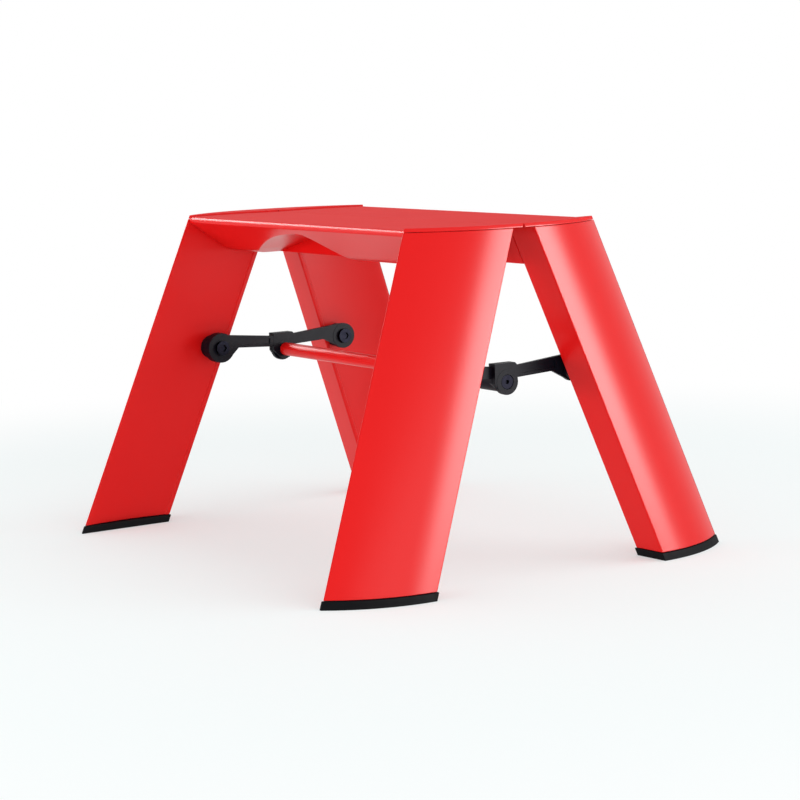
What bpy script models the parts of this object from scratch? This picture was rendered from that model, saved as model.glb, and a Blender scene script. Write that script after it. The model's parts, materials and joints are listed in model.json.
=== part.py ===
"""Folding one-step stool.

Two leaning frames, each a half tread on two hollow wing-shaped legs, are hinged along the middle
of the tread. A jointed stay at each end holds them apart, and a bar across the two stay knuckles
is lifted to fold the stool. Metres, +Z up, origin on the floor under the middle of the tread.
"""
import math

import bmesh
import bpy
from mathutils import Vector
from mathutils.geometry import tessellate_polygon

# Driving dimensions: whole stool
HEIGHT = 0.230
INNER_WIDTH = 0.2818
TREAD_DEPTH = 0.1526
LEAN = math.radians(20.57)
SPLAY = math.radians(6.2)
FRAME_GAP = 0.0055
FIT = 0.0003
HALF_SEAM = 0.0002

# Leg section
LEG_THICKNESS = 0.0258
FLANGE_TURN = 0.0015
LEG_WALL = 0.0022
LIP_WIDTH = 0.0032
LIP_STEP = 0.0012
LEAST_HOLLOW = 0.002
WEB_HOLLOW = 0.0026
TIP_THICKNESS = 0.0014
EDGE_BREAK = 0.0006

# Caps and feet
CAP_THICKNESS = 0.0024
CAP_PROUD = 0.0012
CAP_PLUG_DEPTH = 0.004
FOOT_HEIGHT = 0.0054
FOOT_PROUD = 0.0008
FOOT_PLUG_DEPTH = 0.012

# Half tread
BEAM_DEPTH = 0.0283
SKIRT_SLOPE = math.radians(32.6)
SKIRT_FILLET = 0.025
NOSE_RADIUS = 0.0025
TREAD_WALL = 0.0025
NOSE_SOLID = 0.008
SEAM_THICKNESS = 0.0021
GRIP_START = -0.108
GRIP_PEAK = 0.003
GRIP_END = 0.026
GRIP_RISE = 0.0192
GRIP_CLEAR = 0.001
CORNER_BLOCK_LENGTH = 0.018

# Frame screws
FRAME_SCREW_RADIUS = 0.0025
FRAME_SCREW_HEAD = 0.0042
FRAME_SCREW_HEAD_HEIGHT = 0.0035
FRAME_SCREW_GRIP = 0.012
FRAME_SCREW_PLACES = ((0.028, 0.017), (0.046, 0.0135))

# Centre hinge
BARREL_RADIUS = 0.0042
HINGE_PIN_RADIUS = 0.002
RIVET_RADIUS = 0.0034
RIVET_HEIGHT = 0.0015
HINGE_LENGTH = 0.262
HINGE_SEGMENTS = 5
HINGE_SCREWS = 3
HINGE_SEGMENT_GAP = 0.0006
LEAF_THICKNESS = 0.0018
LEAF_DEPTH = 0.017
LEAF_SCREW_DOWN = 0.011
HINGE_SCREW_RADIUS = 0.0018
HINGE_SCREW_HEAD = 0.0034
HINGE_SCREW_HEAD_HEIGHT = 0.0011

# Stays
PIVOT_SETBACK = 0.012
PIVOT_HEIGHT = 0.1304
KNUCKLE_SAG = 0.0052
STAY_THICKNESS = 0.0034
STAY_SPACING = 0.0004
FRONT_DISC_RADIUS = 0.011
REAR_DISC_RADIUS = 0.0096
FRONT_KNUCKLE_RADIUS = 0.0072
REAR_KNUCKLE_RADIUS = 0.0086
ARM_TOP = 0.0096
ARM_FOOT = 0.0004
ARM_TAPER = 0.0014
ARM_INSET = 0.0003
ARM_POCKET = 0.0009
ARM_RIB = 0.0019
STOP_TO_FRONT = 0.0099
STOP_TO_REAR = 0.0086
STOP_TOP = 0.0126
STOP_FOOT = 0.005
STOP_HEEL = 0.0006
STOP_CORNER = 0.002
STOP_INSET = 0.00015
FRONT_GUSSET_REACH = 0.0147
REAR_GUSSET_REACH = 0.0176
INSIDE_SHARE = 0.97
SEAT_RADIUS = 0.0088
PIVOT_SCREW_RADIUS = 0.003
PIVOT_HEAD_RADIUS = 0.0055
PIVOT_HEAD_HEIGHT = 0.0022
PIVOT_NUT_RADIUS = 0.0055
PIVOT_NUT_HEIGHT = 0.004
KNUCKLE_PIN_RADIUS = 0.003
KNUCKLE_RECESS_RADIUS = 0.005
KNUCKLE_RECESS_DEPTH = 0.0014
BAR_RADIUS = 0.0049
COLLAR_RADIUS = 0.0071
COLLAR_LENGTH = 0.02
SOCKET_SHARE = 0.5

# Mesh steps, and how far cutting tools and joined bodies run past a face
ROUND_STEPS = 28
BORE_STEPS = 20
ARC_STEPS = 12
CUT_OVER = 0.01
HOLE_REACH = 0.003
OVERLAP = 0.001

# Places worked out from the driving dimensions
LEAN_RUN = math.tan(LEAN)
SPLAY_RUN = math.tan(SPLAY)
HALF_WIDTH = INNER_WIDTH / 2
HALF_DEPTH = TREAD_DEPTH / 2
TREAD_TOP = HEIGHT - CAP_PROUD
BEAM_BOTTOM = HEIGHT - BEAM_DEPTH
CAP_BOTTOM = HEIGHT - CAP_THICKNESS
HINGE_HEIGHT = TREAD_TOP - TREAD_WALL - FIT - BARREL_RADIUS
PIVOT_OUT = FRAME_GAP + (HEIGHT - PIVOT_HEIGHT) * LEAN_RUN + PIVOT_SETBACK
KNUCKLE_HEIGHT = PIVOT_HEIGHT - KNUCKLE_SAG
STAY_LENGTH = math.hypot(PIVOT_OUT, KNUCKLE_SAG)

FRONT, REAR = -1, 1
LEFT, RIGHT = -1, 1
END_NAMES = {FRONT: "front", REAR: "rear"}
SIDE_NAMES = {LEFT: "left", RIGHT: "right"}

RED_PAINT = ("red_paint", (0.62, 0.012, 0.012, 1.0), 0.28, 0.0)
BLACK_PLASTIC = ("black_plastic", (0.022, 0.022, 0.028, 1.0), 0.42, 0.0)
BLACK_RUBBER = ("black_rubber", (0.015, 0.015, 0.016, 1.0), 0.8, 0.0)
CAST_METAL = ("cast_metal", (0.40, 0.41, 0.43, 1.0), 0.5, 0.9)
PLATED_STEEL = ("plated_steel", (0.62, 0.62, 0.64, 1.0), 0.3, 1.0)
DARK_STEEL = ("dark_steel", (0.03, 0.03, 0.035, 1.0), 0.38, 1.0)


def clear_scene():
    """Empty the file of objects."""
    for item in list(bpy.data.objects):
        bpy.data.objects.remove(item, do_unlink=True)


def material(kind):
    """One Principled material for each finish."""
    name, color, roughness, metallic = kind
    found = bpy.data.materials.get(name)
    if found:
        return found
    made = bpy.data.materials.new(name)
    made.use_nodes = True
    shader = made.node_tree.nodes["Principled BSDF"]
    shader.inputs["Base Color"].default_value = color
    shader.inputs["Roughness"].default_value = roughness
    shader.inputs["Metallic"].default_value = metallic
    made.diffuse_color = color
    return made


def new_object(name, mesh_data, kind=None, cutter=False):
    """Put a mesh in the scene as a named piece, or as a cutter that is left out of the model."""
    item = bpy.data.objects.new(name, mesh_data)
    bpy.context.scene.collection.objects.link(item)
    if cutter:
        item.hide_render = True
        item.display_type = "WIRE"
    if kind:
        item.data.materials.append(material(kind))
    return item


def closed_mesh(corners, faces):
    """A mesh of one closed body with its faces turned outward."""
    mesh_data = bpy.data.meshes.new("body")
    mesh_data.from_pydata(corners, [], faces)
    work = bmesh.new()
    work.from_mesh(mesh_data)
    bmesh.ops.recalc_face_normals(work, faces=work.faces)
    work.to_mesh(mesh_data)
    work.free()
    return mesh_data


def prism(loops, low, high):
    """Mesh of one closed body: flat loops, outline first and then bores, swept from low to high.

    low and high each turn a point of a loop into a point in space.
    """
    flat = [[Vector((a, b, 0.0)) for a, b in loop] for loop in loops]
    points = [pair for loop in loops for pair in loop]
    count = len(points)
    corners = [low(*pair) for pair in points] + [high(*pair) for pair in points]
    faces = []
    for a, b, c in tessellate_polygon(flat):
        faces.append((a, b, c))
        faces.append((c + count, b + count, a + count))
    start = 0
    for loop in loops:
        size = len(loop)
        for step in range(size):
            a, b = start + step, start + (step + 1) % size
            faces.append((a, b, b + count, a + count))
        start += size
    return closed_mesh(corners, faces)


def boolean(base, tools, operation):
    """The mesh that is left when tools are added to base or cut from it, one after the other."""
    target = new_object("boolean_target", base)
    helpers = []
    for number, tool in enumerate(tools):
        helper = new_object(f"boolean_tool_{number}", tool, cutter=True)
        helpers.append(helper)
        step = target.modifiers.new(f"step_{number}", "BOOLEAN")
        step.operation = operation
        step.solver = "EXACT"
        step.object = helper
    bpy.context.view_layer.update()
    evaluated = target.evaluated_get(bpy.context.evaluated_depsgraph_get())
    result = bpy.data.meshes.new_from_object(evaluated)
    for helper in helpers:
        bpy.data.objects.remove(helper, do_unlink=True)
    bpy.data.objects.remove(target, do_unlink=True)
    return result


def cut(base, tools):
    """base with the tools cut out of it."""
    return boolean(base, tools, "DIFFERENCE")


def united(base, tools):
    """base and the tools as one body."""
    return boolean(base, tools, "UNION")


def piece(name, mesh_data, kind, pivot=None):
    """A finished piece, shaded smooth over its round faces, with its origin on its pivot."""
    item = new_object(name, mesh_data, kind)
    item.data.shade_smooth()
    item.data.set_sharp_from_angle(angle=math.radians(32))
    if pivot:
        for vertex in item.data.vertices:
            vertex.co -= Vector(pivot)
        item.location = pivot
    return item


def circle(radius, steps=ROUND_STEPS, center=(0.0, 0.0)):
    """Points round a circle."""
    turn = 2 * math.pi / steps
    return [(center[0] + radius * math.cos(turn * k), center[1] + radius * math.sin(turn * k))
            for k in range(steps)]


def arc(center, radius, first, last, steps):
    """Points along an arc, both ends among them."""
    span = last - first
    angles = [first + span * k / steps for k in range(steps + 1)]
    return [(center[0] + radius * math.cos(a), center[1] + radius * math.sin(a)) for a in angles]


def across(x):
    """Places a (y, z) point at a given x."""
    return lambda y, z: (x, y, z)


def rod_x(radius, x_low, x_high, y, z, steps=ROUND_STEPS):
    """A cylinder along X between two places."""
    return prism([circle(radius, steps, (y, z))], across(x_low), across(x_high))


def ring_x(radius, bore, x_low, x_high, y, z):
    """A tube along X between two places."""
    loops = [circle(radius, ROUND_STEPS, (y, z)), circle(bore, BORE_STEPS, (y, z))]
    return prism(loops, across(x_low), across(x_high))


def slab_x(outline, x_low, x_high):
    """A plate with a (y, z) outline between two places along X."""
    return prism([outline], across(x_low), across(x_high))


# Leg section. u is the distance outward from the inner edge, v the distance from the centre plane.

FLANGE_OUTER = FRAME_GAP + FLANGE_TURN
ARC_REACH = HALF_DEPTH - FLANGE_OUTER
ARC_RADIUS = (LEG_THICKNESS ** 2 + ARC_REACH ** 2) / (2 * LEG_THICKNESS)
WEB_START = FRAME_GAP + LIP_WIDTH + LIP_STEP / 2
WEB_END = HALF_DEPTH - 2 * TIP_THICKNESS


def outer_u(v):
    """The curved outer face of a leg."""
    return LEG_THICKNESS - ARC_RADIUS + math.sqrt(ARC_RADIUS ** 2 - (v - FLANGE_OUTER) ** 2)


def web_u(v):
    """The hollowed inner face of a leg: a step down from the lip, a shallow curve, the tip."""
    if v <= FRAME_GAP + LIP_WIDTH:
        return 0.0
    along = min(1.0, max(0.0, (v - WEB_START) / (WEB_END - WEB_START)))
    return LIP_STEP * (1 - along) + 4 * WEB_HOLLOW * along * (1 - along)


def web_points():
    """The inner face from the lip's edge to the tip."""
    points = [(0.0, FRAME_GAP + LIP_WIDTH)]
    for step in range(ARC_STEPS + 1):
        v = WEB_START + (WEB_END - WEB_START) * step / ARC_STEPS
        points.append((web_u(v), v))
    return points


def leg_outline(flange_reach=None):
    """The leg's outer section. With flange_reach the flange side runs on to that distance."""
    tip_v = HALF_DEPTH - TIP_THICKNESS / 2
    points = web_points()
    points.append((TIP_THICKNESS / 4, tip_v))
    points.append((outer_u(tip_v), tip_v))
    for step in range(1, ARC_STEPS + 1):
        v = tip_v + (FLANGE_OUTER + EDGE_BREAK - tip_v) * step / ARC_STEPS
        points.append((outer_u(v), v))
    if flange_reach is None:
        points.append((LEG_THICKNESS - EDGE_BREAK, FLANGE_OUTER))
        points.append((EDGE_BREAK, FRAME_GAP))
        points.append((0.0, FRAME_GAP + EDGE_BREAK))
    else:
        points.append((LEG_THICKNESS, flange_reach))
        points.append((0.0, flange_reach))
    return points


def leg_bore(inset):
    """The leg's hollow, drawn in by inset from the wall's inner faces."""
    wall = LEG_WALL + inset
    first = FLANGE_OUTER + wall
    fine = [first + (HALF_DEPTH - wall - first) * step / 100 for step in range(100)]
    last = max(v for v in fine if outer_u(v) - web_u(v) > 2 * wall + LEAST_HOLLOW)
    places = [first + (last - first) * step / ARC_STEPS for step in range(ARC_STEPS + 1)]
    inner = [(web_u(v) + wall, v) for v in places]
    outer = [(outer_u(v) - wall, v) for v in reversed(places)]
    return inner + outer


def leg_place(side, end, z):
    """Places a (u, v) point of a leg section at a given height."""
    drop = HEIGHT - z
    return lambda u, v: (side * (HALF_WIDTH + u + drop * SPLAY_RUN), end * (v + drop * LEAN_RUN), z)


def leg_prism(loops, side, end, z_low, z_high):
    """A body that follows a leg between two heights."""
    return prism(loops, leg_place(side, end, z_low), leg_place(side, end, z_high))


def web_x(y_out, z):
    """How far out the leg's inner face is, at a distance from the centre plane and a height."""
    drop = HEIGHT - z
    return HALF_WIDTH + drop * SPLAY_RUN + web_u(y_out - drop * LEAN_RUN)


def beyond_leg_face(side, end, z_low, z_high):
    """Everything outside the inner face of a leg, less the fit: trims what butts against it."""
    far_u, far_v = 2 * LEG_THICKNESS, 2 * HALF_DEPTH
    points = [(-FIT, -HALF_DEPTH)]
    points += [(u - FIT, v) for u, v in web_points()]
    points += [(-FIT, HALF_DEPTH), (-FIT, far_v), (far_u, far_v), (far_u, -HALF_DEPTH)]
    return leg_prism([points], side, end, z_low - CUT_OVER, z_high + CUT_OVER)


def frame_screw_spots():
    """Distance from the centre plane and height of each frame screw."""
    return [(out, HEIGHT - down) for out, down in FRAME_SCREW_PLACES]


def make_leg(side, end):
    """A hollow leg with its screw holes in the inner face."""
    body = leg_prism([leg_outline(), leg_bore(0.0)], side, end, FOOT_HEIGHT + FIT, CAP_BOTTOM - FIT)
    holes = []
    spots = [(out, z, FRAME_SCREW_RADIUS + FIT) for out, z in frame_screw_spots()]
    spots.append((PIVOT_OUT, PIVOT_HEIGHT, PIVOT_SCREW_RADIUS + FIT))
    for out, z, radius in spots:
        low, high = web_x(out, z) - HOLE_REACH, web_x(out, z) + LEG_WALL + HOLE_REACH
        holes.append(rod_x(radius, side * low, side * high, end * out, z, BORE_STEPS))
    name = f"{END_NAMES[end]}_{SIDE_NAMES[side]}_leg"
    piece(name, cut(body, holes), RED_PAINT)


def make_cap(side, end):
    """The end plate on top of a leg, with a plug in the leg's hollow."""
    plate = leg_prism([leg_outline(HALF_SEAM)], side, end, CAP_BOTTOM, HEIGHT)
    plug = leg_prism([leg_bore(FIT)], side, end, CAP_BOTTOM - CAP_PLUG_DEPTH, CAP_BOTTOM + OVERLAP)
    name = f"{END_NAMES[end]}_{SIDE_NAMES[side]}_cap"
    piece(name, united(plate, [plug]), RED_PAINT)


def grown(points, distance):
    """A clockwise loop moved outward by a distance, with its sharp corners cut short."""
    count = len(points)
    moved = []
    for k in range(count):
        before, here, after = (Vector(points[(k + step) % count]) for step in (-1, 0, 1))
        first = (here - before).normalized()
        second = (after - here).normalized()
        normal = Vector((-first.y - second.y, first.x + second.x)).normalized()
        lean = max(0.5, normal.dot(Vector((-first.y, first.x))))
        moved.append(tuple(here + normal * (distance / lean)))
    return moved


def foot_outline():
    """The leg's section without its inner step, for the rubber foot."""
    tip_v = HALF_DEPTH - TIP_THICKNESS / 2
    points = [(0.0, FRAME_GAP), (0.0, tip_v), (outer_u(tip_v), tip_v)]
    for step in range(1, ARC_STEPS + 1):
        v = tip_v + (FLANGE_OUTER - tip_v) * step / ARC_STEPS
        points.append((outer_u(v), v))
    return grown(points, FOOT_PROUD)


def make_foot(side, end):
    """A rubber foot with a plug in the leg's hollow."""
    sole = leg_prism([foot_outline()], side, end, 0.0, FOOT_HEIGHT)
    low, high = FOOT_HEIGHT - OVERLAP, FOOT_HEIGHT + FOOT_PLUG_DEPTH
    plug = leg_prism([leg_bore(FIT)], side, end, low, high)
    name = f"{END_NAMES[end]}_{SIDE_NAMES[side]}_foot"
    piece(name, united(sole, [plug]), BLACK_RUBBER)


# Half tread. s runs to the right as seen from outside that half, v out from the centre plane.

NOSE_CENTER = (HALF_DEPTH - NOSE_RADIUS - FIT, TREAD_TOP - NOSE_RADIUS)
SKIRT_POINT = (NOSE_CENTER[0] + NOSE_RADIUS * math.sin(SKIRT_SLOPE),
               NOSE_CENTER[1] - NOSE_RADIUS * math.cos(SKIRT_SLOPE))
SKIRT_FOOT = SKIRT_POINT[0] - (SKIRT_POINT[1] - BEAM_BOTTOM) / math.tan(SKIRT_SLOPE)
FILLET_CENTER = (SKIRT_FOOT - SKIRT_FILLET * math.tan(SKIRT_SLOPE / 2), BEAM_BOTTOM + SKIRT_FILLET)


def wall_v(z):
    """Distance of the frame's inner plane from the centre plane at a height."""
    return FRAME_GAP + (HEIGHT - z) * LEAN_RUN


def skirt_z(v, inset):
    """Height of the sloping skirt, drawn in by inset."""
    rise = (v - SKIRT_POINT[0]) * math.tan(SKIRT_SLOPE)
    return SKIRT_POINT[1] + rise + inset / math.cos(SKIRT_SLOPE)


def skirt_fillet(inset):
    """The curve from the skirt to the flat underside."""
    return arc(FILLET_CENTER, SKIRT_FILLET - inset, SKIRT_SLOPE - math.pi / 2, -math.pi / 2, 6)


def tread_outline():
    """The half tread's section, with its rounded nose and the strip that meets the other half."""
    strip = TREAD_TOP - SEAM_THICKNESS
    points = [(HALF_SEAM, TREAD_TOP)]
    points += arc(NOSE_CENTER, NOSE_RADIUS, math.pi / 2, SKIRT_SLOPE - math.pi / 2, 8)
    points += skirt_fillet(0.0)
    points += [(wall_v(BEAM_BOTTOM), BEAM_BOTTOM), (wall_v(strip), strip), (HALF_SEAM, strip)]
    return points


def tread_bore(inset):
    """The half tread's hollow, drawn in by inset from the wall's inner faces."""
    wall = TREAD_WALL + inset
    side = wall / math.cos(LEAN)
    top, bottom = TREAD_TOP - wall, BEAM_BOTTOM + wall
    tip = HALF_DEPTH - NOSE_SOLID - inset
    points = [(wall_v(top) + side, top), (tip, top), (tip, skirt_z(tip, wall))]
    points += skirt_fillet(wall)
    points.append((wall_v(bottom) + side, bottom))
    return points


def half_place(end, s):
    """Places a (v, z) point of a half's section at a given s."""
    return lambda v, z: (-end * s, end * v, z)


def grip_outline(grow):
    """The finger arch: a long rise from one side, a short fall to the other, enlarged by grow."""
    first, last = GRIP_START - 2 * grow, GRIP_END + 2 * grow
    base, floor = BEAM_BOTTOM - FIT, BEAM_BOTTOM - CUT_OVER
    rise = GRIP_RISE + FIT + grow
    points = [(first, floor)]
    for step in range(ARC_STEPS + 1):
        along = step / ARC_STEPS
        s = first + (GRIP_PEAK - first) * along
        points.append((s, base + rise * math.sin(math.pi / 2 * along)))
    for step in range(1, ARC_STEPS + 1):
        along = step / ARC_STEPS
        s = GRIP_PEAK + (last - GRIP_PEAK) * along
        points.append((s, base + rise * (1 + math.cos(math.pi * along)) / 2))
    points.append((last, floor))
    return points


def grip_prism(end, grow, wall):
    """The space under the arch, from outside the skirt to a distance from the inner plane."""
    def near(s, z):
        return -end * s, end * (wall_v(z) + wall), z

    def far(s, z):
        return -end * s, end * (HALF_DEPTH + CUT_OVER), z

    return prism([grip_outline(grow)], near, far)


def tread_hollow(end, reach):
    """The half tread's hollow, less the finger arch with its own walls."""
    hollow = prism([tread_bore(0.0)], half_place(end, -reach), half_place(end, reach))
    return cut(hollow, [grip_prism(end, TREAD_WALL, 0.0)])


def leaf_screw_spots():
    """Distance along the hinge and down the wall of each leaf screw."""
    pitch = HINGE_LENGTH / HINGE_SCREWS
    start = -HINGE_LENGTH / 2 + pitch / 2
    return [(start + pitch * k, LEAF_SCREW_DOWN) for k in range(HINGE_SCREWS)]


def wall_place(end, off):
    """Places an (x, down) point on the inner wall, at a distance off it towards the centre."""
    run, rise = math.sin(LEAN), math.cos(LEAN)
    top = TREAD_TOP - TREAD_WALL - FIT

    def place(x, down):
        z = top - down * rise - off * run
        out = wall_v(top) + down * run - off * rise
        return x, end * out, z

    return place


def wall_prism(loops, end, off_low, off_high):
    """A body that stands on the inner wall."""
    return prism(loops, wall_place(end, off_low), wall_place(end, off_high))


def make_tread(end):
    """A half tread: hollow beam, walled finger arch, ends shaped to the legs, hinge screw holes."""
    reach = HALF_WIDTH + CUT_OVER
    body = prism([tread_outline()], half_place(end, -reach), half_place(end, reach))
    tools = [tread_hollow(end, reach + CUT_OVER)]
    for x, down in leaf_screw_spots():
        hole = circle(HINGE_SCREW_RADIUS + FIT, 12, (x, down))
        tools.append(wall_prism([hole], end, -TREAD_WALL - HOLE_REACH, HOLE_REACH))
    tools.append(grip_prism(end, 0.0, TREAD_WALL / math.cos(LEAN) + GRIP_CLEAR))
    tools += [beyond_leg_face(side, end, BEAM_BOTTOM, TREAD_TOP) for side in (LEFT, RIGHT)]
    piece(f"{END_NAMES[end]}_tread", cut(body, tools), RED_PAINT)


def make_corner_block(side, end):
    """The block in the end of a half tread that the frame screws hold the leg to."""
    turn = -end * side
    inner, outer = HALF_WIDTH - CORNER_BLOCK_LENGTH, HALF_WIDTH + CUT_OVER
    body = prism([tread_bore(FIT)], half_place(end, turn * inner), half_place(end, turn * outer))
    tools = [beyond_leg_face(side, end, BEAM_BOTTOM, TREAD_TOP)]
    for out, z in frame_screw_spots():
        deep = web_x(out, z) - FRAME_SCREW_GRIP - 2 * FIT
        radius = FRAME_SCREW_RADIUS + FIT
        tools.append(rod_x(radius, side * deep, side * outer, end * out, z, BORE_STEPS))
    name = f"{END_NAMES[end]}_{SIDE_NAMES[side]}_corner_block"
    piece(name, cut(body, tools), CAST_METAL)


def headed(head, head_height, radius, length):
    """A screw's or pin's lengths and radii, from the top of its head."""
    return [(head_height, head), (length, radius)]


def turned_x(sections, x_start, direction, y, z, steps, socket=None):
    """A stepped round body along X, built from its head end, with an optional hexagonal socket."""
    outline = []
    start = 0.0
    for length, radius in sections:
        outline += [(start, radius), (start + length, radius)]
        start += length
    corners = []
    for along, radius in outline:
        x = x_start + direction * along
        corners += [(x, b, c) for b, c in circle(radius, steps, (y, z))]
    faces = [tuple(range(steps)), tuple(range(len(corners) - steps, len(corners)))]
    for level in range(len(outline) - 1):
        for k in range(steps):
            a, b = level * steps + k, level * steps + (k + 1) % steps
            faces.append((a, b, b + steps, a + steps))
    mesh_data = closed_mesh(corners, faces)
    if not socket:
        return mesh_data
    radius, depth = socket
    x_mouth, x_floor = x_start - direction * OVERLAP, x_start + direction * depth
    return cut(mesh_data, [rod_x(radius, x_mouth, x_floor, y, z, 6)])


def make_frame_screws(side, end):
    """The screws that hold a half tread to one leg, heads inside the leg."""
    for number, (out, z) in enumerate(frame_screw_spots(), 1):
        seat = web_x(out, z) + LEG_WALL + FRAME_SCREW_HEAD * SPLAY_RUN + 2 * FIT
        length = seat - web_x(out, z) + FRAME_SCREW_GRIP
        sections = headed(FRAME_SCREW_HEAD, FRAME_SCREW_HEAD_HEIGHT, FRAME_SCREW_RADIUS, length)
        start = side * (seat + FRAME_SCREW_HEAD_HEIGHT)
        socket = (FRAME_SCREW_HEAD * SOCKET_SHARE, FRAME_SCREW_HEAD_HEIGHT * SOCKET_SHARE)
        name = f"{END_NAMES[end]}_{SIDE_NAMES[side]}_frame_screw_{number}"
        piece(name, turned_x(sections, start, -side, end * out, z, 16, socket), PLATED_STEEL)


# Centre hinge

def segment_span(index):
    """Where one knuckle of the hinge starts and stops along X."""
    segment = HINGE_LENGTH / HINGE_SEGMENTS
    start = -HINGE_LENGTH / 2 + index * segment
    return start + HINGE_SEGMENT_GAP / 2, start + segment - HINGE_SEGMENT_GAP / 2


def make_leaf(end):
    """A hinge leaf: a plate on the inner wall with every other knuckle round the pin."""
    half = HINGE_LENGTH / 2
    corners = [(-half, FIT), (half, FIT), (half, LEAF_DEPTH), (-half, LEAF_DEPTH)]
    plate = wall_prism([corners], end, FIT, FIT + LEAF_THICKNESS)
    web = LEAF_THICKNESS / 2
    reach = end * (wall_v(HINGE_HEIGHT) - FIT - web)
    under, over = HINGE_HEIGHT - web, HINGE_HEIGHT + web
    bridge = [(0.0, under), (reach, under), (reach, over), (0.0, over)]
    bodies = []
    first = 0 if end == FRONT else 1
    for index in range(first, HINGE_SEGMENTS, 2):
        low, high = segment_span(index)
        bodies.append(rod_x(BARREL_RADIUS, low, high, 0.0, HINGE_HEIGHT, BORE_STEPS))
        bodies.append(slab_x(bridge, low + FIT, high - FIT))
    radius, far = HINGE_PIN_RADIUS + FIT, half + CUT_OVER
    bores = [rod_x(radius, -far, far, 0.0, HINGE_HEIGHT, BORE_STEPS)]
    for x, down in leaf_screw_spots():
        hole = circle(HINGE_SCREW_RADIUS + FIT, 12, (x, down))
        bores.append(wall_prism([hole], end, -HOLE_REACH, LEAF_THICKNESS + HOLE_REACH))
    leaf = cut(united(plate, bodies), bores)
    piece(f"hinge_{END_NAMES[end]}_leaf", leaf, CAST_METAL, (0.0, 0.0, HINGE_HEIGHT))


def make_hinge_pin():
    """The hinge's pin, with a flat rivet head at each end."""
    half = HINGE_LENGTH / 2 + FIT
    rivet = (RIVET_HEIGHT, RIVET_RADIUS)
    sections = [rivet, (2 * half, HINGE_PIN_RADIUS), rivet]
    pin = turned_x(sections, -half - RIVET_HEIGHT, 1, 0.0, HINGE_HEIGHT, BORE_STEPS)
    piece("hinge_pin", pin, PLATED_STEEL, (0.0, 0.0, HINGE_HEIGHT))


def make_leaf_screws(end):
    """The screws that hold a hinge leaf to the inner wall."""
    base = FIT + LEAF_THICKNESS + FIT
    top = base + HINGE_SCREW_HEAD_HEIGHT
    for number, (x, down) in enumerate(leaf_screw_spots(), 1):
        shank_outline = circle(HINGE_SCREW_RADIUS, 12, (x, down))
        shank = wall_prism([shank_outline], end, -TREAD_WALL - OVERLAP, (base + top) / 2)
        head = wall_prism([circle(HINGE_SCREW_HEAD, 16, (x, down))], end, base, top)
        piece(f"hinge_{END_NAMES[end]}_screw_{number}", united(head, [shank]), PLATED_STEEL)


# Stays. The front stays lie inside the rear ones; both are told by a distance from the middle.

def folded_turn():
    """How far a stay turns in its own frame until the frames' inner planes are parallel."""
    reach = math.hypot(PIVOT_OUT, HINGE_HEIGHT - PIVOT_HEIGHT)
    opened = math.atan2(PIVOT_OUT, HINGE_HEIGHT - PIVOT_HEIGHT)
    half_span = reach * math.sin(opened - LEAN)
    return math.acos(half_span / STAY_LENGTH) - LEAN + math.atan2(KNUCKLE_SAG, PIVOT_OUT)


def folded_top():
    """Height that the far corner of a stay's stop block then reaches in the stay's own frame."""
    out, lift = PIVOT_OUT + max(STOP_TO_FRONT, STOP_TO_REAR), STOP_TOP - KNUCKLE_SAG
    return PIVOT_HEIGHT + math.hypot(out, lift) * math.sin(math.atan2(lift, out) + folded_turn())


STAY_OUTER = HALF_WIDTH + (HEIGHT - folded_top()) * SPLAY_RUN - STAY_SPACING
REAR_STAY_INNER = STAY_OUTER - STAY_THICKNESS
FRONT_STAY_OUTER = REAR_STAY_INNER - STAY_SPACING
FRONT_STAY_INNER = FRONT_STAY_OUTER - STAY_THICKNESS


def stay_point(end, along, lift):
    """A (y, z) point of a stay: along it from the pivot to the knuckle, and lifted off that line."""
    direction = Vector((-end * PIVOT_OUT, -KNUCKLE_SAG)).normalized()
    upward = Vector((end * direction.y, -end * direction.x))
    start = Vector((end * PIVOT_OUT, PIVOT_HEIGHT))
    return tuple(start + direction * along + upward * lift)


def stay_sizes(end):
    """Radii of a stay's disc and knuckle boss, and how far out its arm's underside starts."""
    if end == FRONT:
        return FRONT_DISC_RADIUS, FRONT_KNUCKLE_RADIUS, FRONT_GUSSET_REACH
    return REAR_DISC_RADIUS, REAR_KNUCKLE_RADIUS, REAR_GUSSET_REACH


def stop_reach(end):
    """How far the stop plate reaches from the knuckle back along a stay's own arm."""
    return STOP_TO_FRONT if end == FRONT else STOP_TO_REAR


def arm_outline(end):
    """A stay's arm, with a slope from its underside that touches the disc."""
    disc_radius, _, reach = stay_sizes(end)
    turn = math.acos(disc_radius / reach)
    touch = disc_radius * INSIDE_SHARE
    far = STAY_LENGTH - stop_reach(end) / 2
    points = [(touch * math.cos(turn), -touch * math.sin(turn)), (reach, ARM_FOOT),
              (far, ARM_FOOT + ARM_TAPER), (far, ARM_TOP), (0.0, ARM_TOP)]
    return [stay_point(end, along, lift) for along, lift in points]


def channel_outline(end):
    """The channel between the two ribs of an arm."""
    near, far = FRONT_DISC_RADIUS + 2 * ARM_RIB, STAY_LENGTH - stop_reach(end) - 2 * ARM_RIB
    points = [(near, ARM_FOOT + ARM_RIB), (far, ARM_FOOT + ARM_TAPER + ARM_RIB),
              (far, ARM_TOP - ARM_RIB), (near, ARM_TOP - ARM_RIB)]
    return [stay_point(end, along, lift) for along, lift in points]


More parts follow.
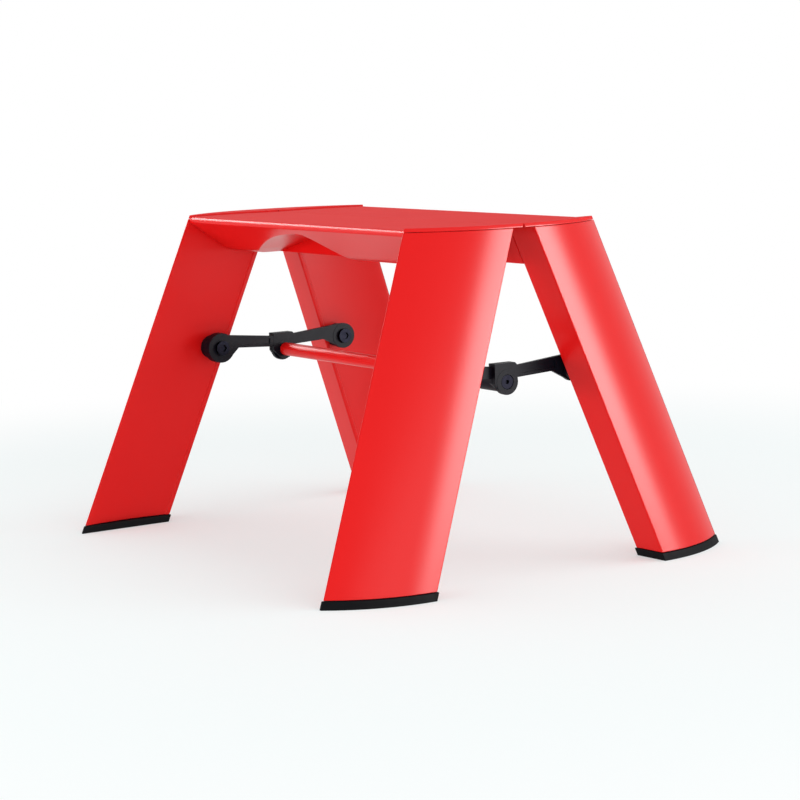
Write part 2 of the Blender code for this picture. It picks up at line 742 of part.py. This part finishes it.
def stop_outline(end):
    """The stop plate over the knuckle and down its front side, level when the stool stands open."""
    low = stay_sizes(end)[1] * INSIDE_SHARE * math.sqrt(0.5)
    points = [(-STOP_TO_FRONT, -STOP_HEEL), (-low, -low), (low, 0.0), (STOP_TO_REAR, STOP_FOOT),
              (STOP_TO_REAR, STOP_TOP - STOP_CORNER), (STOP_TO_REAR - STOP_CORNER, STOP_TOP),
              (-STOP_TO_FRONT, STOP_TOP)]
    return [(y, KNUCKLE_HEIGHT + lift) for y, lift in points]


def stay_bore(side, radius, y, z):
    """A bore along X through a stay."""
    low, high = side * (FRONT_STAY_INNER - CUT_OVER), side * (STAY_OUTER + CUT_OVER)
    return rod_x(radius, low, high, y, z, BORE_STEPS)


def stay_body(side, end, faces):
    """Pivot disc, arm, knuckle boss and stop block as one body, bored for both pins.

    The arm and the block stand in from the faces of the disc and the boss.
    """
    inner, outer = faces
    disc_radius, knuckle_radius, _ = stay_sizes(end)
    y, z = end * PIVOT_OUT, PIVOT_HEIGHT
    disc = rod_x(disc_radius, side * inner, side * STAY_OUTER, y, z)
    knuckle = rod_x(knuckle_radius, side * inner, side * outer, 0.0, KNUCKLE_HEIGHT)
    arm = slab_x(arm_outline(end), side * (inner + ARM_INSET), side * (outer - ARM_INSET))
    stop = slab_x(stop_outline(end), side * (inner + STOP_INSET), side * (outer - STOP_INSET))
    bores = [stay_bore(side, PIVOT_SCREW_RADIUS + FIT, y, z),
             stay_bore(side, KNUCKLE_PIN_RADIUS + FIT, 0.0, KNUCKLE_HEIGHT)]
    return cut(united(disc, [arm, knuckle, stop]), bores)


def make_front_stay(side):
    """A front stay, with its channel in the inner face."""
    body = stay_body(side, FRONT, (FRONT_STAY_INNER, FRONT_STAY_OUTER))
    low, high = FRONT_STAY_INNER - CUT_OVER, FRONT_STAY_INNER + ARM_INSET + ARM_POCKET
    channel = slab_x(channel_outline(FRONT), side * low, side * high)
    name = f"{SIDE_NAMES[side]}_front_stay"
    piece(name, cut(body, [channel]), BLACK_PLASTIC, (0.0, FRONT * PIVOT_OUT, PIVOT_HEIGHT))


def make_rear_stay(side):
    """A rear stay, with its channel and the recess for its pin's head in the outer face."""
    body = stay_body(side, REAR, (REAR_STAY_INNER, STAY_OUTER))
    high = side * (STAY_OUTER + CUT_OVER)
    low = side * (STAY_OUTER - ARM_INSET - ARM_POCKET)
    channel = slab_x(channel_outline(REAR), low, high)
    floor = side * (STAY_OUTER - KNUCKLE_RECESS_DEPTH)
    recess = rod_x(KNUCKLE_RECESS_RADIUS, floor, high, 0.0, KNUCKLE_HEIGHT)
    name = f"{SIDE_NAMES[side]}_rear_stay"
    piece(name, cut(body, [channel, recess]), BLACK_PLASTIC, (0.0, REAR * PIVOT_OUT, PIVOT_HEIGHT))


def make_knuckle_pin(side):
    """The headed pin in a rear stay's knuckle. It ends level with the stay's inner face."""
    floor = STAY_OUTER - KNUCKLE_RECESS_DEPTH
    head_height = KNUCKLE_RECESS_DEPTH - 2 * FIT
    length = floor + FIT - REAR_STAY_INNER
    sections = headed(KNUCKLE_RECESS_RADIUS - FIT, head_height, KNUCKLE_PIN_RADIUS, length)
    start = side * (floor + FIT + head_height)
    socket = (KNUCKLE_PIN_RADIUS * SOCKET_SHARE, 2 * head_height)
    pin = turned_x(sections, start, -side, 0.0, KNUCKLE_HEIGHT, BORE_STEPS, socket)
    name = f"{SIDE_NAMES[side]}_knuckle_pin"
    piece(name, pin, DARK_STEEL, (0.0, REAR * PIVOT_OUT, PIVOT_HEIGHT))


def make_release_bar():
    """The bar across the stool, with a spigot in each front stay's knuckle."""
    spigot = (FRONT_STAY_OUTER - FRONT_STAY_INNER, KNUCKLE_PIN_RADIUS)
    sections = [spigot, (2 * (FRONT_STAY_INNER - FIT), BAR_RADIUS), spigot]
    bar = turned_x(sections, FIT - FRONT_STAY_OUTER, 1, 0.0, KNUCKLE_HEIGHT, ROUND_STEPS)
    piece("release_bar", bar, RED_PAINT, (0.0, FRONT * PIVOT_OUT, PIVOT_HEIGHT))


def make_bar_collar():
    """The black collar round the bar's right end, up to the front stay."""
    high = FRONT_STAY_INNER - FIT
    collar = ring_x(COLLAR_RADIUS, BAR_RADIUS + FIT, high - COLLAR_LENGTH, high, 0.0, KNUCKLE_HEIGHT)
    piece("bar_collar", collar, BLACK_PLASTIC, (0.0, FRONT * PIVOT_OUT, PIVOT_HEIGHT))


def make_pivot_seat(side, end):
    """The seat between a stay's disc and the leg, shaped to the leg's hollowed face."""
    y, z = end * PIVOT_OUT, PIVOT_HEIGHT
    low, high = STAY_OUTER + FIT, web_x(PIVOT_OUT, PIVOT_HEIGHT) + HOLE_REACH
    body = ring_x(SEAT_RADIUS, PIVOT_SCREW_RADIUS + FIT, side * low, side * high, y, z)
    trim = beyond_leg_face(side, end, PIVOT_HEIGHT - SEAT_RADIUS, PIVOT_HEIGHT + SEAT_RADIUS)
    name = f"{END_NAMES[end]}_{SIDE_NAMES[side]}_pivot_seat"
    piece(name, cut(body, [trim]), BLACK_PLASTIC)


def nut_start():
    """Where a pivot nut starts, inside the leg's hollow."""
    return web_x(PIVOT_OUT, PIVOT_HEIGHT) + LEG_WALL + PIVOT_NUT_RADIUS * SPLAY_RUN + 2 * FIT


def make_pivot_fasteners(side, end):
    """A pivot screw and the nut that holds it inside the leg."""
    disc_face = FRONT_STAY_INNER if end == FRONT else REAR_STAY_INNER
    y, z = end * PIVOT_OUT, PIVOT_HEIGHT
    head_top = disc_face - FIT - PIVOT_HEAD_HEIGHT
    length = nut_start() + PIVOT_NUT_HEIGHT - head_top - PIVOT_HEAD_HEIGHT
    sections = headed(PIVOT_HEAD_RADIUS, PIVOT_HEAD_HEIGHT, PIVOT_SCREW_RADIUS, length)
    socket = (PIVOT_HEAD_RADIUS * SOCKET_SHARE, PIVOT_HEAD_HEIGHT * SOCKET_SHARE)
    name = f"{END_NAMES[end]}_{SIDE_NAMES[side]}_pivot"
    pivot_screw = turned_x(sections, side * head_top, side, y, z, BORE_STEPS, socket)
    piece(f"{name}_screw", pivot_screw, DARK_STEEL)
    loops = [circle(PIVOT_NUT_RADIUS, 6, (y, z)), circle(PIVOT_SCREW_RADIUS + FIT, 12, (y, z))]
    low, high = side * nut_start(), side * (nut_start() + PIVOT_NUT_HEIGHT)
    piece(f"{name}_nut", prism(loops, across(low), across(high)), PLATED_STEEL)


def make_frame(end):
    """One leaning frame with everything that is fixed to it."""
    make_tread(end)
    make_leaf(end)
    make_leaf_screws(end)
    for side in (LEFT, RIGHT):
        make_frame_screws(side, end)
        make_pivot_fasteners(side, end)
        make_leg(side, end)
        make_cap(side, end)
        make_foot(side, end)
        make_corner_block(side, end)
        make_pivot_seat(side, end)


def main():
    """Build the stool, standing open."""
    clear_scene()
    for end in (FRONT, REAR):
        make_frame(end)
    make_hinge_pin()
    make_release_bar()
    make_bar_collar()
    for side in (LEFT, RIGHT):
        make_front_stay(side)
        make_rear_stay(side)
        make_knuckle_pin(side)


main()
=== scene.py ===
"""Looks of the folding one-step stool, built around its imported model.

Metres, +Z up, in the same frame as the solids. The floor is at z = 0.
"""
import json
import math

import bpy
from mathutils import Matrix, Vector

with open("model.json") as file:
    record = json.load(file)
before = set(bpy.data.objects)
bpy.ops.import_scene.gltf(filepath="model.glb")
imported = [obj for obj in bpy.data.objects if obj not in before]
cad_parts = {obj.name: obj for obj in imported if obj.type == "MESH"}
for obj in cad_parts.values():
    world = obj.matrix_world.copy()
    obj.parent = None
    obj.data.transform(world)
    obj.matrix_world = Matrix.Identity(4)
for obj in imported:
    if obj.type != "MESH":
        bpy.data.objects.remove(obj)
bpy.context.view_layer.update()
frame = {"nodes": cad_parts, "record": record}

# Camera of the photograph: place, heading from +Y towards -X, tilt, roll, lens and sensor in mm
CAMERA_PLACE = (1.370518, -0.896971, 0.320238)
CAMERA_HEADING = math.radians(56.47234)
CAMERA_TILT = math.radians(-7.69144)
CAMERA_ROLL = -0.029
CAMERA_LENS = 104.903
CAMERA_SENSOR = 36.0

# Light of the surroundings, and the white that the camera and gloss see there
WHITE = (1.0, 1.0, 1.0, 1.0)
AMBIENT = 0.66

# Floor: half its side, its colour under the stool, and how matt it is
FLOOR_HALF = 6.0
FLOOR_COLOR = (0.80, 0.86, 0.86, 1.0)
FLOOR_ROUGHNESS = 0.9
FLOOR_SPECULAR = 0.1

# The floor that the camera sees: its colour and glow, and where it fades into the background
FLOOR_SEEN = (0.53, 0.58, 0.58, 1.0)
FLOOR_LIFT = 0.43
FADE_START = 0.45
FADE_END = 0.9

# Lamps: name, place, width, height, power, and whether they do more than gleam
AIM = (0.0, 0.0, 0.12)
LAMPS = (
    ("front_softbox", (-0.9, -2.0, 0.20), 1.6, 0.36, 9.0, True),
    ("low_softbox", (-0.2, -0.80, 0.04), 1.2, 0.40, 3.0, True),
    ("right_softbox", (2.1, -0.60, 0.35), 1.4, 0.60, 10.0, True),
    ("rear_softbox", (1.8, 1.30, 0.40), 1.2, 0.60, 6.0, True),
    ("top_softbox", (0.7, 0.9, 2.2), 1.6, 1.6, 13.0, True),
    ("right_gleam", (1.95, 1.30, 0.45), 1.5, 0.90, 130.0, False),
    ("left_gleam", (-2.2, -0.6, 1.3), 1.2, 1.2, 50.0, False),
)

# Range that a noise texture stays within
NOISE_LOW = 0.05
NOISE_HIGH = 0.95

# Red coating: its two tones, its roughness, and the scales of tone, gloss and orange peel
RED_DEEP = (0.735, 0.008, 0.008, 1.0)
RED_BRIGHT = (0.775, 0.010, 0.010, 1.0)
COAT_ROUGHNESS = (0.27, 0.30)
COAT_SPECULAR = 0.14
TONE_SCALE = 9.0
GLOSS_SCALE = 14.0
PEEL_SCALE = 320.0
PEEL_STRENGTH = 0.04
PEEL_DEPTH = 0.0002

# The step's matt coat: its roughness and scales, its height and the fade just below that
STEP_ROUGHNESS = (0.74, 0.82)
STEP_MATT_SCALE = 40.0
STEP_FINE_SCALE = 1100.0
STEP_COAT_TOP = 0.2284
STEP_COAT_FADE = 0.0003

# Moulded pieces: name, dark and light tone, roughness, scale and depth of the grain
MOULDINGS = {
    "black_plastic": ("black_moulding", (0.004, 0.004, 0.007, 1.0), (0.007, 0.007, 0.012, 1.0),
                      (0.34, 0.46), 1500.0, 0.0001),
    "black_rubber": ("rubber", (0.003, 0.003, 0.004, 1.0), (0.007, 0.007, 0.008, 1.0),
                     (0.55, 0.75), 900.0, 0.0002),
}
MOULD_TONE_SCALE = 70.0
MOULD_GLOSS_SCALE = 220.0
MOULD_STRENGTH = 0.3
MOULD_SPECULAR = 0.05

# Bare metals: name, dark and light tone, roughness
METALS = {
    "cast_metal": ("plain_aluminium", (0.42, 0.43, 0.45, 1.0), (0.56, 0.57, 0.60, 1.0),
                   (0.35, 0.5)),
    "plated_steel": ("bright_zinc", (0.52, 0.53, 0.56, 1.0), (0.68, 0.69, 0.72, 1.0),
                     (0.22, 0.36)),
    "dark_steel": ("blackened_steel", (0.003, 0.003, 0.005, 1.0), (0.006, 0.006, 0.009, 1.0),
                   (0.34, 0.48)),
}
METAL_TONE_SCALE = 300.0
METAL_GLOSS_SCALE = 500.0
METAL_GRAIN_SCALE = 700.0
METAL_STRENGTH = 0.15
METAL_DEPTH = 0.0001

# Edges: corners closer than this merge, planes within this angle are one, edges past this are rounded
MERGE_DISTANCE = 1e-6
FLAT_ANGLE = math.radians(0.5)
EDGE_ANGLE = math.radians(28.0)
EDGE_SEGMENTS = 2
EVEN_WEIGHT = 50
SOFT_EDGES = {
    "red_paint": 0.0004,
    "black_plastic": 0.0003,
    "black_rubber": 0.0004,
    "cast_metal": 0.0002,
    "plated_steel": 0.0001,
    "dark_steel": 0.00015,
}


def place_in_scene(name, data):
    """A new object with the given data, in the scene."""
    item = bpy.data.objects.new(name, data)
    bpy.context.scene.collection.objects.link(item)
    return item


def add_camera():
    """The camera at the photograph's place, aim and roll."""
    data = bpy.data.cameras.new("camera")
    data.lens = CAMERA_LENS
    data.sensor_width = CAMERA_SENSOR
    item = place_in_scene("camera", data)
    item.matrix_world = (Matrix.Translation(CAMERA_PLACE)
                         @ Matrix.Rotation(CAMERA_HEADING, 4, "Z")
                         @ Matrix.Rotation(math.pi / 2 + CAMERA_TILT, 4, "X")
                         @ Matrix.Rotation(CAMERA_ROLL, 4, "Z"))
    bpy.context.scene.camera = item


def node(tree, kind, **inputs):
    """A shader node with its values set by socket name."""
    made = tree.nodes.new(kind)
    for name, value in inputs.items():
        made.inputs[name.replace("_", " ")].default_value = value
    return made


def object_coordinates(tree):
    """Coordinates of the surface in metres."""
    return node(tree, "ShaderNodeTexCoord").outputs["Object"]


def noise(tree, vector, scale, detail=3.0, roughness=0.5):
    """A noise texture on the given coordinates."""
    made = node(tree, "ShaderNodeTexNoise", Scale=scale, Detail=detail, Roughness=roughness)
    tree.links.new(vector, made.inputs["Vector"])
    return made.outputs["Fac"]


def map_range(tree, value, source, target):
    """A value from one range turned into another."""
    made = node(tree, "ShaderNodeMapRange", From_Min=source[0], From_Max=source[1],
                To_Min=target[0], To_Max=target[1])
    tree.links.new(value, made.inputs["Value"])
    return made.outputs["Result"]


def spread(tree, value, low, high):
    """A noise value turned into low to high, with room at both ends so that it is never cut off."""
    return map_range(tree, value, (NOISE_LOW, NOISE_HIGH), (low, high))


def blend_colors(tree, share, first, second):
    """A colour between two, by a share from 0 to 1."""
    mix = tree.nodes.new("ShaderNodeMix")
    mix.data_type = "RGBA"
    mix.inputs["A"].default_value = first
    mix.inputs["B"].default_value = second
    tree.links.new(share, mix.inputs["Factor"])
    return mix.outputs["Result"]


def blend_values(tree, share, first, second):
    """A number between two sockets' numbers, by a share from 0 to 1."""
    mix = tree.nodes.new("ShaderNodeMix")
    tree.links.new(share, mix.inputs["Factor"])
    tree.links.new(first, mix.inputs["A"])
    tree.links.new(second, mix.inputs["B"])
    return mix.outputs["Result"]


def new_material(name):
    """An empty Principled material, its tree and its shader."""
    made = bpy.data.materials.new(name)
    made.use_nodes = True
    return made, made.node_tree, made.node_tree.nodes["Principled BSDF"]


def finish(tree, shader, color, gloss, height, strength, depth):
    """Link a colour, a roughness and a bump of the given height to a shader."""
    bump = node(tree, "ShaderNodeBump", Strength=strength, Distance=depth)
    tree.links.new(height, bump.inputs["Height"])
    tree.links.new(color, shader.inputs["Base Color"])
    tree.links.new(gloss, shader.inputs["Roughness"])
    tree.links.new(bump.outputs["Normal"], shader.inputs["Normal"])


def top_share(tree, vector):
    """1 on the flat top of the step, 0 below it."""
    parts = tree.nodes.new("ShaderNodeSeparateXYZ")
    tree.links.new(vector, parts.inputs["Vector"])
    start = (STEP_COAT_TOP - STEP_COAT_FADE, STEP_COAT_TOP)
    return map_range(tree, parts.outputs["Z"], start, (0.0, 1.0))


def paint_material(name, step=False):
    """Red coating: fine orange peel, drifting tone and gloss. With step, the flat top is matt."""
    made, tree, shader = new_material(name)
    place = object_coordinates(tree)
    tone = spread(tree, noise(tree, place, TONE_SCALE), 0.0, 1.0)
    color = blend_colors(tree, tone, RED_DEEP, RED_BRIGHT)
    gloss = spread(tree, noise(tree, place, GLOSS_SCALE, 2.0), *COAT_ROUGHNESS)
    peel = noise(tree, place, PEEL_SCALE, 1.0)
    if step:
        share = top_share(tree, place)
        matt = spread(tree, noise(tree, place, STEP_MATT_SCALE, 4.0), *STEP_ROUGHNESS)
        gloss = blend_values(tree, share, gloss, matt)
        fine = noise(tree, place, STEP_FINE_SCALE, 2.0, 0.6)
        peel = blend_values(tree, share, peel, fine)
    finish(tree, shader, color, gloss, peel, PEEL_STRENGTH, PEEL_DEPTH)
    shader.inputs["Specular IOR Level"].default_value = COAT_SPECULAR
    return made


def moulded_material(name, dark, light, roughness, grain, depth):
    """Black moulded plastic or rubber with a fine grain."""
    made, tree, shader = new_material(name)
    place = object_coordinates(tree)
    tone = spread(tree, noise(tree, place, MOULD_TONE_SCALE, 4.0), 0.0, 1.0)
    gloss = spread(tree, noise(tree, place, MOULD_GLOSS_SCALE, 4.0), *roughness)
    height = noise(tree, place, grain, 3.0, 0.6)
    finish(tree, shader, blend_colors(tree, tone, dark, light), gloss, height,
           MOULD_STRENGTH, depth)
    shader.inputs["Specular IOR Level"].default_value = MOULD_SPECULAR
    return made


def metal_material(name, dark, light, roughness):
    """Bare metal with a fine grain."""
    made, tree, shader = new_material(name)
    place = object_coordinates(tree)
    tone = spread(tree, noise(tree, place, METAL_TONE_SCALE, 4.0), 0.0, 1.0)
    gloss = spread(tree, noise(tree, place, METAL_GLOSS_SCALE, 4.0), *roughness)
    height = noise(tree, place, METAL_GRAIN_SCALE)
    finish(tree, shader, blend_colors(tree, tone, dark, light), gloss, height,
           METAL_STRENGTH, METAL_DEPTH)
    shader.inputs["Metallic"].default_value = 1.0
    return made


def normals_group():
    """Geometry nodes that merge split corners and let every face shade smooth."""
    tree = bpy.data.node_groups.new("clean_normals", "GeometryNodeTree")
    tree.interface.new_socket("Geometry", in_out="INPUT", socket_type="NodeSocketGeometry")
    tree.interface.new_socket("Geometry", in_out="OUTPUT", socket_type="NodeSocketGeometry")
    clear = node(tree, "GeometryNodeRemoveAttribute", Name="custom_normal")
    merge = node(tree, "GeometryNodeMergeByDistance", Distance=MERGE_DISTANCE)
    smooth = tree.nodes.new("GeometryNodeSetShadeSmooth")
    end = tree.nodes.new("NodeGroupOutput")
    tree.links.new(tree.nodes.new("NodeGroupInput").outputs[0], clear.inputs["Geometry"])
    tree.links.new(clear.outputs["Geometry"], merge.inputs["Geometry"])
    tree.links.new(merge.outputs["Geometry"], smooth.inputs["Geometry"])
    tree.links.new(smooth.outputs["Geometry"], end.inputs[0])
    return tree


def soften(item, group, width, clamped):
    """Round the sharp edges of a solid by width and shade its curves smooth."""
    clean = item.modifiers.new("clean", "NODES")
    clean.node_group = group
    flat = item.modifiers.new("flat_faces", "DECIMATE")
    flat.decimate_type = "DISSOLVE"
    flat.angle_limit = FLAT_ANGLE
    rounded = item.modifiers.new("rounded", "BEVEL")
    rounded.width = width
    rounded.segments = EDGE_SEGMENTS
    rounded.limit_method = "ANGLE"
    rounded.angle_limit = EDGE_ANGLE
    rounded.use_clamp_overlap = clamped
    even = item.modifiers.new("even", "WEIGHTED_NORMAL")
    even.weight = EVEN_WEIGHT
    even.keep_sharp = False


def node_finish(name, slot):
    """The finish of a node: treads and caps have a matt coat on their top."""
    if name.endswith("_tread") or name.endswith("_cap"):
        return "step_paint"
    return slot


def dress_nodes():
    """Give every solid its finish, and break its sharp edges."""
    finishes = {"red_paint": paint_material("red_coating"),
                "step_paint": paint_material("step_coating", step=True)}
    for slot, values in MOULDINGS.items():
        finishes[slot] = moulded_material(*values)
    for slot, values in METALS.items():
        finishes[slot] = metal_material(*values)
    slots = {part["node"]: part["material_slot"] for part in frame["record"]["subparts"]}
    group = normals_group()
    for name, item in frame["nodes"].items():
        item.data.materials.clear()
        item.data.materials.append(finishes[node_finish(name, slots[name])])
        soften(item, group, SOFT_EDGES[slots[name]], not name.endswith("_leg"))


def larger(tree, first, second):
    """The larger of two numbers."""
    made = tree.nodes.new("ShaderNodeMath")
    made.operation = "MAXIMUM"
    tree.links.new(first, made.inputs[0])
    tree.links.new(second, made.inputs[1])
    return made.outputs[0]


def seen_directly(tree):
    """1 for rays that show the background: camera, glossy and transmission rays."""
    path = tree.nodes.new("ShaderNodeLightPath").outputs
    return larger(tree, larger(tree, path["Is Camera Ray"], path["Is Glossy Ray"]),
                  path["Is Transmission Ray"])


def blend_shaders(tree, share, first, second):
    """A shader between two, by a share from 0 to 1."""
    mix = tree.nodes.new("ShaderNodeMixShader")
    tree.links.new(share, mix.inputs["Fac"])
    tree.links.new(first, mix.inputs[1])
    tree.links.new(second, mix.inputs[2])
    return mix.outputs["Shader"]


def fade_share(tree):
    """0 on the floor round the stool, 1 far from it."""
    reach = tree.nodes.new("ShaderNodeVectorMath")
    reach.operation = "LENGTH"
    tree.links.new(object_coordinates(tree), reach.inputs[0])
    fade = node(tree, "ShaderNodeMapRange", From_Min=FADE_START, From_Max=FADE_END)
    fade.interpolation_type = "SMOOTHSTEP"
    tree.links.new(reach.outputs["Value"], fade.inputs["Value"])
    return fade.outputs["Result"]


def floor_material():
    """Matt pale floor. The camera sees it a little lifted, and white far from the stool."""
    made, tree, shader = new_material("floor_white")
    shader.inputs["Base Color"].default_value = FLOOR_COLOR
    shader.inputs["Roughness"].default_value = FLOOR_ROUGHNESS
    shader.inputs["Specular IOR Level"].default_value = FLOOR_SPECULAR
    matt = node(tree, "ShaderNodeBsdfDiffuse", Color=FLOOR_SEEN)
    lift = node(tree, "ShaderNodeEmission", Strength=FLOOR_LIFT)
    white = node(tree, "ShaderNodeEmission", Strength=1.0)
    lifted = tree.nodes.new("ShaderNodeAddShader")
    tree.links.new(matt.outputs["BSDF"], lifted.inputs[0])
    tree.links.new(lift.outputs["Emission"], lifted.inputs[1])
    shown = blend_shaders(tree, fade_share(tree), lifted.outputs["Shader"],
                          white.outputs["Emission"])
    final = blend_shaders(tree, seen_directly(tree), shader.outputs["BSDF"], shown)
    tree.links.new(final, tree.nodes["Material Output"].inputs["Surface"])
    return made


def add_floor():
    """A pale floor that keeps the stool's shadow and fades into the white background."""
    data = bpy.data.meshes.new("floor")
    size = FLOOR_HALF
    corners = [(-size, -size, 0.0), (size, -size, 0.0), (size, size, 0.0), (-size, size, 0.0)]
    data.from_pydata(corners, [], [(0, 1, 2, 3)])
    data.materials.append(floor_material())
    place_in_scene("floor", data)


def add_world():
    """Plain white surroundings, dimmer for the light that they give."""
    world = bpy.data.worlds.new("studio")
    bpy.context.scene.world = world
    world.use_nodes = True
    tree = world.node_tree
    ambient = tree.nodes["Background"]
    ambient.inputs["Color"].default_value = WHITE
    ambient.inputs["Strength"].default_value = AMBIENT
    white = node(tree, "ShaderNodeBackground", Color=WHITE, Strength=1.0)
    final = blend_shaders(tree, seen_directly(tree), ambient.outputs["Background"],
                          white.outputs["Background"])
    tree.links.new(final, tree.nodes["World Output"].inputs["Surface"])


def add_softbox(name, place, width, height, power, diffuse):
    """A rectangular area light that faces the stool. Without diffuse it only gleams on gloss."""
    data = bpy.data.lights.new(name, "AREA")
    data.shape = "RECTANGLE"
    data.size = width
    data.size_y = height
    data.energy = power
    item = place_in_scene(name, data)
    item.location = place
    item.visible_camera = False
    item.visible_diffuse = diffuse
    aim = Vector(AIM) - Vector(place)
    item.rotation_euler = aim.to_track_quat("-Z", "Y").to_euler()


add_camera()
dress_nodes()
add_floor()
add_world()
for lamp in LAMPS:
    add_softbox(*lamp)

bpy.context.scene.view_settings.view_transform = "Standard"
